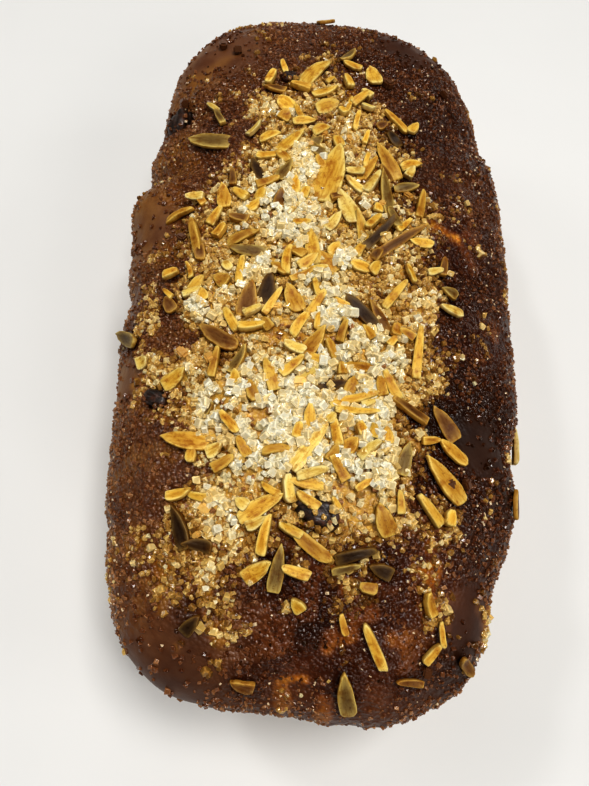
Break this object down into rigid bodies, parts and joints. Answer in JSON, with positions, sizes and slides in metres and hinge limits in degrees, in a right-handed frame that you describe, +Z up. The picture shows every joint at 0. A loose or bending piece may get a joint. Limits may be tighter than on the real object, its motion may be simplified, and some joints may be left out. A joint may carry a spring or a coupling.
{
  "type": "raisin bread loaf",
  "caption": "Long tin-baked sweet bread loaf, its browned crown covered with almond pieces, coarse sugar and scattered raisins.",
  "frame": {"origin": "middle of the flat base that the loaf rests on, under the middle of its plan box", "axes": "+X across the loaf to its right side, +Y along the loaf to the far end, +Z up"},
  "size_m": [0.1223, 0.2403, 0.0944],
  "materials": {
    "crust": "browned crust with almond pieces and coarse sugar baked on",
    "raisin": "dark shrivelled skin with a soft shine"
  },
  "bodies": {
    "root": {"loaf": "crust", "raisin_crown": "raisin", "raisin_left": "raisin", "raisin_brim": "raisin", "raisin_flank": "raisin", "raisin_far": "raisin"}
  },
  "joints": []
}
